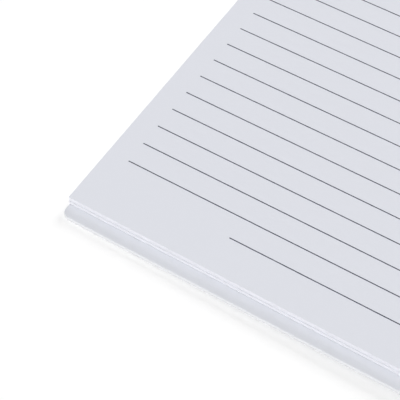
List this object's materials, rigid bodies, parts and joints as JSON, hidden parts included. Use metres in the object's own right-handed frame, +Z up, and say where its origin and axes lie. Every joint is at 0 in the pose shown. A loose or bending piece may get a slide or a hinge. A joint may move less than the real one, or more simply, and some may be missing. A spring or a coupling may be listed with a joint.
{
  "type": "wire ring notebook",
  "caption": "Ring-bound notebook lying open in the middle: two cover boards and two stacks of punched, ruled sheets turning on a row of double wire rings.",
  "frame": {"origin": "on the table, under the ring axis, half way along the spine", "axes": "+X from the spine to the back cover's outer edge, +Y along the spine to the head of the pages, +Z up"},
  "size_m": [0.297, 0.21, 0.015],
  "materials": {
    "cover_board": "smooth matt white board",
    "page_paper": "smooth matt mineral paper, slightly cool white",
    "ring_wire": "plain drawn steel wire, satin bright"
  },
  "bodies": {
    "rings": {"wire_rings": "ring_wire"},
    "front_leaf": {"front_cover": "cover_board", "turned_pages": "page_paper"},
    "back_leaf": {"back_cover": "cover_board", "remaining_pages": "page_paper"}
  },
  "joints": [
    {"name": "front_cover_turn", "type": "hinge", "parent": "rings", "child": "front_leaf", "pos_m": [0, 0, 0.00755], "axis": [0, 1, 0], "range_deg": [0, 182.5]},
    {"name": "back_cover_turn", "type": "hinge", "parent": "rings", "child": "back_leaf", "pos_m": [0, 0, 0.00755], "axis": [0, 1, 0], "range_deg": [-182.5, 0]}
  ]
}
